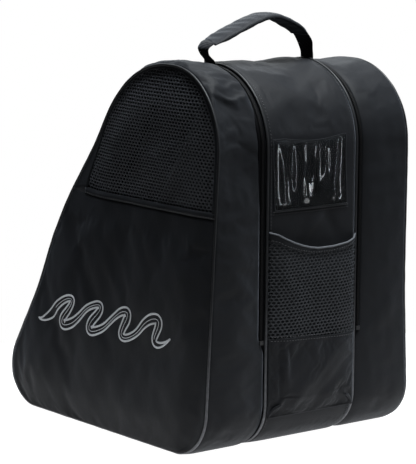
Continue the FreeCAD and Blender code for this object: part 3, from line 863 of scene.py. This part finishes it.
def piping(side, sign):
    """The rim between the gusset and the side, and the seam beside the centre band."""
    s = np.linspace(0, SIDE.total, 700, endpoint=False)
    points, normals = SIDE.at(s)
    flat = points + normals * (standing(s) - SEAM_INSET)[:, None]
    path = side_point(sign, flat[:, 0], flat[:, 1], standing(s) - 2.4)
    size = 1.25 + 0.08 * ripples(s, 0 * s, 51, 22)
    rim = bead(side + "_rim_piping", path, off_side(sign), off_loop(s), size, size)
    dress(rim, PIPING, [side + "_outer_piping", side + "_tray_piping"], side)
    path = loop_point(sign, -57.7, s, 1.1 * standing(s) - 2.1)
    seam = bead(side + "_seam_piping", path, (sign, 0, 0), off_loop(s), 1.5, 1.2)
    dress(seam, PIPING, [side + "_inner_piping"], "bag")


COIL_PITCH = 1.6
# The body, the way across, the coil's phase, how far the tape runs past the zip's ends,
# its steps along, and its section as (distance from the zip's middle, out).
ZIP_HALVES = {
    "inner": ("bag", 1, 0.0, 10, 340, [(0.0, -2.6), (1.3, -2.5), (3.4, -2.6), (4.6, -2.8)]),
    "outer": (None, -1, math.pi, 0, 330, [(0.0, -2.6), (1.3, -2.5), (3.4, -2.7), (5.0, -3.2)]),
}


def zip_strips(side, sign):
    """The tape and the coil of each half of the zip."""
    for label, (body, away, phase, past, steps, section) in ZIP_HALVES.items():
        body = body or side
        s = np.linspace(ZIP_BEGIN - past, ZIP_END + past, steps)
        lines = [(-ZIP_X + away * offset, out) for offset, out in section]
        tape = loop_sheet(f"{side}_zip_{label}_tape", sign, s, lines)
        dress(tape, TAPE, [f"{side}_zip_tape_{label}"], body, 0.6)
        s = np.arange(ZIP_BEGIN, ZIP_END, 0.4)
        ridge = 0.5 + 0.5 * np.cos(2 * math.pi * s / COIL_PITCH + phase)
        path = loop_point(sign, -ZIP_X + away * 0.72, s, -1.9)
        wide, high = 0.62 + 0.22 * ridge, 0.55 + 0.35 * ridge
        name = f"{side}_zip_{label}_coil"
        coil = bead(name, path, (sign, 0, 0), off_loop(s), wide, high, closed=False, sides=8)
        dress(coil, COIL, [f"{side}_zip_coil_{label}"], body)


# === Centre band and the divider inside ===

BAND_HALF = 56.4
BAND_FOLDS = [
    ((-12, SIDE.front_s(213)), (10, SIDE.front_s(235)), 5, 2.0),
    ((14, SIDE.front_s(236)), (32, SIDE.front_s(212)), 6, -1.4),
    ((-50, 640), (-10, 668), 9, 0.9),
    ((48, 655), (5, 690), 10, -0.8),
    ((-50, 350), (-20, 380), 8, 0.5),
    ((52, 560), (20, 600), 12, 0.7),
]


def band_out(x, s):
    crown = -1.2 + 2.0 * np.cos(np.clip(x / BAND_HALF, -1, 1) * math.pi / 2) ** 0.5
    waves = 0.45 * ripples(x, s, 61, 80) + 0.2 * ripples(x, s, 62, 30)
    loose = 1 - (np.abs(x) / BAND_HALF) ** 6
    return crown + loose * (waves + folds(x, s, BAND_FOLDS))


def centre_band():
    x = np.linspace(-BAND_HALF, BAND_HALF, 49)
    s = np.linspace(0, SIDE.total, 430, endpoint=False)
    lines = [(at, band_out(at, s)) for at in x]
    thing = loop_sheet("centre_band_cloth", -1, s, lines, closed=True)
    held = pinned_edges((len(s), len(x)), sides=3, low=0, high=0)
    base_y, base_z = SIDE.at(s)[0].T
    behind_pocket = (base_y < FRONT + 8) & (base_z < WINDOW_Z[1] + 6)
    held[behind_pocket | (base_z < 12)] = 1.0
    relax(thing, held, 0.006)
    nodes = ["base_panel", "centre_front_panel", "centre_rear_panel", "centre_top_panel"]
    dress(thing, BAND, nodes, "bag", WALL, LINING)


QUILT = 60


def divider():
    """The quilted pad between the two compartments."""
    low, high = corner("divider_panel", 0, 2), corner("divider_panel", 1, 2)
    near_base = low + 20 * np.linspace(0, 1, 10) ** 1.7
    z = np.concatenate([near_base, np.linspace(low + 24, high, 70)])
    t = np.linspace(0, 1, 60)
    rings = []
    for level, front, rear in zip(z, *SIDE.row_ends(z, 3.6)):
        y = front + (rear - front) * t
        level = np.full(len(y), level)
        seams = [np.abs((y + lean * level) % QUILT - QUILT / 2) for lean in (0.6, -0.6)]
        swell = 0.45 + 0.55 * ease(np.minimum(*seams), 0, 10)
        half = 0.5 + 1.6 * ease(edge_distance(y, level) - 3.0, 0, 12) * swell
        far = np.stack([half, y, level], 1)[::-1]
        rings.append(np.vstack([np.stack([-half, y, level], 1), far]))
    points = np.array(rings)
    thing = tube("divider_pad", points, lambda a, b: points[a, b % (2 * len(t)), 1:])
    dress(thing, LINING, ["divider_panel"], "bag")


# === Clear window on the front ===

FORWARD = (0.0, -1.0, 0.0)

# In shares of the window's width and height.
FILM_FOLDS = [
    ((0.06, 1.15), (0.17, -0.15), 0.045, 1.3),
    ((0.29, 1.20), (0.27, 0.30), 0.040, 1.1),
    ((0.37, 1.05), (0.44, -0.20), 0.040, 1.2),
    ((0.66, 1.25), (0.71, 0.25), 0.050, 1.4),
    ((0.92, 1.25), (0.76, 0.20), 0.050, 1.3),
]


def front_face(x, z, out):
    """A point of the centre band's upright front, z measured in height."""
    return np.stack([x, FRONT - band_out(x, SIDE.front_s(z)) - out, z], -1)


def window_spot(u, v):
    """The x and z of a point of the window, which leans and has a sagging top."""
    x = WINDOW_X[0] + (WINDOW_X[1] - WINDOW_X[0]) * u + (3.0 * (1 - v) - 2.5)
    sag = -3.5 * np.sin(math.pi * np.clip((u - 0.15) / 0.8, 0, 1)) * v**3
    return x, WINDOW_Z[0] + (WINDOW_Z[1] - WINDOW_Z[0]) * v + sag


def id_window():
    u = np.linspace(0, 1, 94)
    v = np.linspace(0, 1, 71)
    uu, vv = np.meshgrid(u, v)
    x, z = window_spot(uu, vv)
    edge = np.minimum(np.minimum(uu, 1 - uu) * 4.5, np.minimum(vv * 5, (1 - vv) * 9))
    drift = uu + 0.05 * np.sin(2.2 * vv + 0.5) + 0.015 * np.sin(6.0 * vv)
    rolls = 0.75 * np.sin(2 * math.pi * 2.6 * drift + 0.6) * (0.7 + 0.3 * vv)
    rolls += 0.4 * np.sin(2 * math.pi * 5.7 * drift - 1.2 * vv + 2.0)
    rolls += folds(uu, vv, FILM_FOLDS)
    rolls += 0.08 * ripples(uu * 90, vv * 70, 71, 30)
    out = 0.9 + ease(edge, 0, 1) * (1.9 + 0.9 * rolls)
    points = front_face(x, z, np.maximum(out, 0.4))
    film = grid("window_film", points, np.stack([x, z], -1))
    dress(film, FILM, ["id_window"], "bag", 0.25)
    edges = ((u, 0 * u), (0 * v + 1, v), (u[::-1], 0 * u + 1), (0 * v, v[::-1]))
    around = np.vstack([np.stack(edge, 1)[:-1] for edge in edges])
    path = front_face(*window_spot(*around.T), 0.9)
    trim = cord("window_trim", path, FORWARD, 0.7, 0.4, closed=True)
    dress(trim, BAND, ["id_window_seam"], "bag")


# === Front pocket ===

POCKET_HALF = 56.0
MOUTH_X = [-56, -48, -40, -30, -20, -10, 0, 20, 40, 52, 56]
MOUTH_Z = [220, 217.5, 213, 208.5, 205, 202.3, 200.7, 200.5, 202.5, 205.5, 209]
POCKET_FOLDS = [
    ((-45, 112), (-43, 55), 3.0, -2.2),
    ((-38, 110), (-36, 60), 4.0, 1.3),
    ((-32, 48), (30, 104), 8.0, 2.4),
    ((-8, 40), (46, 84), 8.0, -1.9),
    ((-50, 38), (-38, 52), 3.5, 1.3),
    ((50, 38), (36, 54), 4.0, 1.4),
    ((-52, 206), (-28, 150), 8.0, 1.6),
    ((52, 196), (30, 150), 8.0, 1.2),
    ((-20, 180), (10, 128), 10.0, -1.0),
    ((20, 185), (34, 130), 9.0, 0.9),
]


def base_z(x):
    return np.full(len(x), POCKET_BASE)


def seam_z(x):
    return POCKET_SEAM + 2.5 - 0.045 * (x + POCKET_HALF)


def mouth_z(x):
    return np.interp(x, MOUTH_X, MOUTH_Z)


def header_z(x):
    return mouth_z(x) - 4.6 - 3.2 * ease(-x, 0, 56)


def pocket_point(x, z, out=0.0):
    """A point on or off the pocket, which stands off the bag's front."""
    side = 1 - np.abs(np.clip(x / POCKET_HALF, -1, 1)) ** 5
    foot = ease(z, POCKET_BASE - 1, POCKET_BASE + 20)
    full = 6.2 + 1.8 * ease(z, 60, 200)
    waves = 0.4 * ripples(x, z, 81, 40) + 0.15 * ripples(x, z, 82, 16)
    loose = side * ease(z, POCKET_BASE, POCKET_BASE + 10)
    swell = 0.9 + side * foot * full + loose * (waves + folds(x, z, POCKET_FOLDS))
    return np.stack([x, FRONT - np.maximum(swell, 0.5) - out, z], -1)


def pocket_panel(name, low, high, rows, lift):
    """Part of the pocket between two heights, each a function of x."""
    x = np.linspace(-POCKET_HALF, POCKET_HALF, 101)
    z = low(x)[None, :] + (high(x) - low(x))[None, :] * np.linspace(0, 1, rows)[:, None]
    x = np.broadcast_to(x, z.shape)
    return grid(name, pocket_point(x, z, lift), np.stack([x, z], -1)), z.shape


def pocket():
    panel, shape = pocket_panel("pocket_cloth", base_z, seam_z, 75, 0.0)
    relax(panel, pinned_edges(shape, high=5), 0.02)
    dress(panel, BAND, ["pocket_front"], "bag", 1.0)
    strip, _ = pocket_panel("pocket_top_strip", header_z, mouth_z, 8, 0.35)
    dress(strip, BAND, ["pocket_header"], "bag", 1.2)

    def inside(x, z):
        keep = (np.abs(x) < POCKET_HALF - 0.6) & (z < header_z(x) + 2.0)
        return keep & (z > seam_z(x) - 2.0)

    def place(x, z, out):
        return pocket_point(x, z, out - 0.9)

    lattice = net("pocket_net", inside, place, (4.9, 3.2), (4.0, 2.8), 0.25)
    # The yarn is the net's own, painted darker as painted shade.
    dress(lattice, SHADED_POCKET_NET, ["pocket_mesh"], "bag", NET_WALL)
    x = np.linspace(-POCKET_HALF, POCKET_HALF, 160)
    path = pocket_point(x, mouth_z(x) + 0.4)
    tape = cord("pocket_mouth_binding", path, FORWARD, 0.95, 0.8, sides=12)
    dress(tape, BINDING, ["pocket_edge_binding"], "bag")
    t = np.linspace(0, 1, 24)
    size = np.sin(math.pi * (0.08 + 0.84 * t)) ** 0.6
    for side, sign in SIDES.items():
        x = sign * 55.0 + (sign * 42.0 - sign * 55.0) * t
        path = pocket_point(x, 36.0 + 11.0 * t + 2.2 * np.sin(math.pi * t), -0.2)
        tuck = cord(side + "_pocket_tuck", path, FORWARD, 1.9 * size, 1.2 * size)
        dress(tuck, BAND, ["pocket_tucks"], "bag")


# === Handle ===

# The sleeve's middle as (x, z), and each strap's as (x, z, y).
GRIP_PATH = np.array([
    (-67.6, 401.7), (-60, 404.6), (-38, 413.2), (-15, 421.6), (-4, 424.4), (7, 424.9),
    (18, 422.2), (32, 416.6), (42, 411), (48.5, 405.6),
])
STRAP_PATHS = {
    "left": np.array([
        (-60.9, 377, -97), (-63, 382.4, -98), (-68, 385.6, -101), (-73.4, 390, -103),
        (-75.4, 395.5, -104), (-71.5, 400, -105), (-62, 403.8, -105),
    ]),
    "right": np.array([
        (60.9, 377, -102), (60.4, 384, -102.5), (58.4, 391, -103), (55.4, 397.6, -104),
        (51, 403, -105), (43, 410.2, -105),
    ]),
}
# Where along each strap it widens, and how far it is pinched at its bend.
STRAP_SHAPE = {"left": (0.35, 1, 2.8), "right": (0.2, 0.6, 0.0)}


def smooth_path(points, count):
    """A curve through points, evenly spaced, and its unit tangents."""
    steps = np.linalg.norm(np.diff(points, axis=0), axis=1)
    knots = np.concatenate([[0], np.cumsum(steps)])
    slopes = np.gradient(points, knots, axis=0)
    t = np.linspace(0, knots[-1], count)
    k = np.clip(np.searchsorted(knots, t, side="right") - 1, 0, len(knots) - 2)
    width = (knots[k + 1] - knots[k])[:, None]
    u = ((t - knots[k]) / width[:, 0])[:, None]
    curve = (
        (2 * u**3 - 3 * u**2 + 1) * points[k]
        + (u**3 - 2 * u**2 + u) * width * slopes[k]
        + (-2 * u**3 + 3 * u**2) * points[k + 1]
        + (u**3 - u**2) * width * slopes[k + 1]
    )
    return curve, tangents(curve)


def grip():
    """The padded sleeve: a soft flat tube, pinched where it is stitched to the straps."""
    count, around = 110, 44
    curve, tangent = smooth_path(GRIP_PATH, count)
    up = np.stack([-tangent[:, 1], tangent[:, 0]], 1)
    t = np.linspace(0, 1, count)
    end = np.minimum(t, 1 - t)
    wide = 13.6 + 1.8 * ease(end, 0, 0.1)
    plump = 0.55 + 0.45 * ease(end, 0, 0.12)
    aa, tt = np.meshgrid(np.linspace(0, 2 * math.pi, around, endpoint=False), t)
    square = (np.abs(np.cos(aa)) ** 3.2 + np.abs(np.sin(aa)) ** 3.2) ** (-1 / 3.2)
    across = np.cos(aa) * square * wide[:, None]
    high = np.sin(aa) * square * (3.1 * plump)[:, None]
    creases = 0.35 * np.sin(2 * math.pi * (tt * 11 + 0.25 * np.sin(2 * aa))) * (np.sin(aa) ** 2)
    creases += 0.3 * ripples(tt * 130, across, 91, 24)
    high = high + np.sign(np.sin(aa)) * creases * 0.8 - 0.9 * (np.cos(aa) ** 2)
    slant = across / wide[:, None] * (4.4 * (1 - ease(tt, 0, 0.16)))
    points = np.zeros((count, around, 3))
    for axis, flat_axis in ((0, 0), (2, 1)):
        points[..., axis] = curve[:, None, flat_axis] + up[:, None, flat_axis] * high
        points[..., axis] += tangent[:, None, flat_axis] * slant
    points[..., 1] = HANDLE_Y + across
    thing = tube("handle_sleeve", points, lambda a, b: np.stack([t[a] * 145, b * 1.6], 1))
    dress(thing, GRIP, ["handle_grip"], "handle")


def legs():
    count = 60
    t = np.linspace(0, 1, count)
    for side in SIDES:
        curve, tangent = smooth_path(STRAP_PATHS[side], count)
        up = unit(np.stack([-tangent[:, 1], np.zeros(count), tangent[:, 0]], 1))
        start, end, pinch = STRAP_SHAPE[side]
        half = 9.8 + 2.8 * ease(t, start, end)
        half = half - pinch * np.sin(math.pi * np.clip(t * 1.25, 0, 1))
        path = curve[:, [0, 2, 1]]
        strap = bead(side + "_strap", path, (0, 1, 0), up, half, 0.95, closed=False, sides=20)
        dress(strap, WEBBING, [side + "_handle_leg", side + "_handle_anchor"])
        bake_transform(strap)


# === Print on each side: an outlined ribbon that runs in waves, with no lettering ===

# The corners of the print in (y, z): low and high at the rear, low and high at the front.
PRINT_CORNERS = np.array([(112.7, 87.0), (63.8, 130.0), (-88.0, 101.0), (-124.0, 141.5)])


def wave_print(side, sign):
    along = np.linspace(0, 1, 520)
    turn = 1.5 * np.sin(2 * math.pi * (4.25 * along - 0.06)) * (1 - 0.12 * along)
    u = np.cumsum(np.cos(turn))
    v = np.cumsum(np.sin(turn)) * 2.15
    u = -0.02 + 1.17 * (u - u[0]) / (u[-1] - u[0])
    v = v - np.linspace(v[0], v[-1], len(v))
    v = 0.5 + 0.86 * ((v - v.min()) / (v.max() - v.min()) - 0.5)
    low_rear, high_rear, low_front, high_front = PRINT_CORNERS
    low = low_rear + (low_front - low_rear) * u[:, None]
    high = high_rear + (high_front - high_rear) * u[:, None]
    middle = low + (high - low) * v[:, None]
    tangent = tangents(middle)
    normal = np.stack([-tangent[:, 1], tangent[:, 0]], 1)
    end = np.minimum(along, 1 - along)
    half = (4.0 + 0.9 * np.sin(31 * along + 0.4)) * ease(end, -0.002, 0.06)
    reach = normal * half[:, None]
    edges = np.vstack([middle + reach, (middle - reach)[::-1]])
    core = middle[40:-40] + normal[40:-40] * 0.3
    lines = (("edge", edges, True, 1.05), ("core", core, False, 0.35))
    out = off_side(sign)
    for label, spots, closed, width in lines:
        path = on_side_cloth(side, cloth_point(side, sign, *spots.T), out, 0.1)
        line = cord(f"{side}_print_{label}", path, out, width, 0.22, closed, sides=6)
        dress(line, INK, (), side)


# === Stitching ===

STITCH_PITCH = 3.4
STITCH_LENGTH = 2.5
STITCH_RADIUS = 0.32
# A stitch's faces: a six-sided barrel, numbered 1 to 12, between its two end points.
STITCH_FACES = []
for turn in range(6):
    near, beside = 1 + turn, 1 + (turn + 1) % 6
    STITCH_FACES += [(0, beside, near), (near, beside, beside + 6, near + 6)]
    STITCH_FACES += [(13, near + 6, beside + 6)]


def stitches(name, path, out, body):
    """A row of stitches along a path; out is the way off the cloth."""
    steps = np.linalg.norm(np.diff(path, axis=0), axis=1)
    knots = np.concatenate([[0], np.cumsum(steps)])
    out = np.broadcast_to(out, path.shape)
    vertices = []
    faces = []

    def at(values, place):
        return np.array([np.interp(place, knots, values[:, axis]) for axis in range(3)])

    for place in np.arange(STITCH_PITCH / 2, knots[-1] - STITCH_PITCH / 2, STITCH_PITCH):
        reach = STITCH_LENGTH / 2
        start, middle, end = (at(path, place + step) for step in (-reach, 0, reach))
        away = at(out, place)
        along = (end - start) / np.linalg.norm(end - start)
        across = np.cross(along, away)
        faces += [[len(vertices) + corner for corner in face] for face in STITCH_FACES]
        vertices.append(start - away * 0.15)
        for shift in (-0.22, 0.22):
            for angle in np.arange(6) * math.pi / 3:
                ring = across * math.cos(angle) + away * math.sin(angle)
                vertices.append(middle + along * STITCH_LENGTH * shift + ring * STITCH_RADIUS)
        vertices.append(end - away * 0.15)
    uvs = np.array([vertices[v][1:] for face in faces for v in face]) * MM
    thing = add_object(name, np.array(vertices), faces, uvs, solid=True)
    dress(thing, THREAD, (), body)


def sew():
    x = np.linspace(-54.5, 54.5, 100)
    for name, z, lift in (
        ("pocket_seam_stitch_low", seam_z(x) - 2.0, 0.15),
        ("pocket_seam_stitch_high", seam_z(x) + 2.2, 0.15),
        ("pocket_header_stitch", header_z(x) + 1.2, 0.45),
    ):
        stitches(name, pocket_point(x, z, lift), FORWARD, "bag")
    x = np.linspace(WINDOW_X[0] - 2, WINDOW_X[1] + 4, 100)
    for name, drop, lift in (("low", 0.8, 1.0), ("lower", 3.6, 0.2)):
        row = front_face(x, np.full(100, WINDOW_Z[0] - drop), lift)
        stitches(f"window_stitch_{name}", row, FORWARD, "bag")
    y = np.linspace(-180, 24, 200)
    s = np.linspace(SIDE.front_s(20), SIDE.rear_s(20), 900)
    seam_x = -BAND_HALF + 3.2
    for side, sign in SIDES.items():
        row = cloth_point(side, sign, y, np.full(200, 240.4), 0.4)
        stitches(side + "_hem_stitch", row, off_side(sign), side + "_shell")
        row = loop_point(sign, seam_x, s, band_out(np.full(900, sign * seam_x), s) + 0.1)
        stitches(side + "_band_stitch", row, off_loop(s), "bag")


for side, sign in SIDES.items():
    for make in (gusset, side_cloth, hem, mesh_window, piping, zip_strips):
        make(side, sign)
for make in (centre_band, divider, id_window, pocket, grip, legs):
    make()
for side, sign in SIDES.items():
    wave_print(side, sign)
sew()

# The cut size of every sheet: width, length, and area where the cut isn't a rectangle,
# all in metres, with what it is sewn to.  A net's area is its yarn without the holes.
# SIDE stands for each side's name.
SHEETS = [
    ("centre_band_cloth", 0.113, 1.215, None, "left_seam_piping right_seam_piping"),
    ("pocket_cloth", 0.114, 0.080, None, "centre_band_cloth"),
    ("pocket_top_strip", 0.010, 0.114, 0.0008, "pocket_net"),
    ("pocket_net", 0.100, 0.114, 0.0068, "centre_band_cloth"),
    ("window_film", 0.068, 0.097, None, "centre_band_cloth"),
    ("SIDE_gusset_cloth", 0.073, 1.215, None, "SIDE_seam_piping SIDE_rim_piping"),
    ("SIDE_side_border", 0.010, 0.420, 0.0026, "SIDE_rim_piping"),
    ("SIDE_hem_fold", 0.010, 0.208, None, "SIDE_side_cloth"),
    ("SIDE_window_net", 0.140, 0.215, 0.0157, "SIDE_side_border SIDE_hem_fold"),
]
for side in ("", *SIDES):
    for name, width, length, area, holders in SHEETS:
        if name.startswith("SIDE") == bool(side):
            holders = holders.replace("SIDE", side).split()

for side in SIDES:
    dress(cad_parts[side + "_base_board"], BOARD)
    for label in ("zip_stops", "slider", "pull_tab"):
        dress(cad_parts[f"{side}_{label}"], METAL)

# === Floor, light and camera ===

AMBIENT = 0.03
LAMP_COLOUR = (0.93, 0.975, 1.0)
# Name, place, target, width and height in metres, and watts.
LAMPS = [
    ("overhead", (0.12, -0.36, 2.2), (0, 0, 0.3), (1.0, 1.0), 118),
    ("behind", (1.5, 2.0, 1.7), (0, 0, 0.3), (1.8, 1.8), 30),
    ("front_left", (-2.4, -0.6, 1.0), (0, 0, 0.2), (1.0, 1.0), 0.6),
    ("front_right", (1.9, -1.9, 1.0), (0, 0, 0.2), (1.0, 1.0), 0.3),
    ("strip_near", (0.52, -2.1, 0.30), (0, -0.18, 0.27), (0.08, 1.9), 2.2),
    ("strip_far", (1.85, -1.15, 0.30), (0, -0.18, 0.27), (0.08, 1.9), 2.4),
]


def studio():
    paint = Paint("pale_floor")
    grain = paint.noise(paint.place(), 6.0, 3.0)
    paint.set(
        Base_Color=paint.between(grain, (0.22, 0.22, 0.22), (0.26, 0.26, 0.26)),
        Roughness=0.9,
        Specular_IOR_Level=0.05,
        Emission_Color=(1.0, 1.0, 1.0, 1.0),
        Emission_Strength=1.02,
    )
    bpy.ops.mesh.primitive_circle_add(vertices=96, radius=0.46, fill_type="NGON")
    floor = bpy.context.active_object
    floor.name = "floor"
    floor.location = (0.05, -0.06, -0.0006)
    floor.data.materials.append(paint.material)
    # The backdrop is white to the camera, and only dimly lights the bag.
    world = bpy.data.worlds.new("studio")
    world.use_nodes = True
    tree = world.node_tree
    backdrop = tree.nodes["Background"].inputs
    seen = tree.nodes.new("ShaderNodeLightPath").outputs["Is Camera Ray"]
    level = tree.nodes.new("ShaderNodeMapRange")
    level.inputs["To Min"].default_value = AMBIENT
    tree.links.new(seen, level.inputs[0])
    tree.links.new(level.outputs[0], backdrop["Strength"])
    backdrop["Color"].default_value = (1.0, 1.0, 1.0, 1.0)
    bpy.context.scene.world = world
    for name, spot, target, size, power in LAMPS:
        light = bpy.data.lights.new(name, "AREA")
        light.shape = "RECTANGLE"
        light.size, light.size_y = size
        light.energy = power
        light.color = LAMP_COLOUR
        lamp = bpy.data.objects.new(name, light)
        lamp.location = spot
        lamp.visible_camera = False
        aim = Vector(target) - Vector(spot)
        lamp.rotation_euler = aim.to_track_quat("-Z", "Y").to_euler()
        bpy.context.collection.objects.link(lamp)
    bpy.context.scene.view_settings.view_transform = "Standard"
    bpy.context.scene.view_settings.look = "None"


def camera():
    data = bpy.data.cameras.new("camera")
    data.lens = 181.16
    data.sensor_width = 36.0
    data.shift_x = 0.0237
    data.shift_y = 0.0022
    eye = bpy.data.objects.new("camera", data)
    eye.matrix_world = Matrix((
        (0.7872, 0.0953, -0.6093, -1.4976),
        (-0.6166, 0.1326, -0.7760, -1.9074),
        (0.0068, 0.9866, 0.1631, 0.5910),
        (0.0, 0.0, 0.0, 1.0),
    ))
    bpy.context.collection.objects.link(eye)
    bpy.context.scene.camera = eye


studio()
camera()
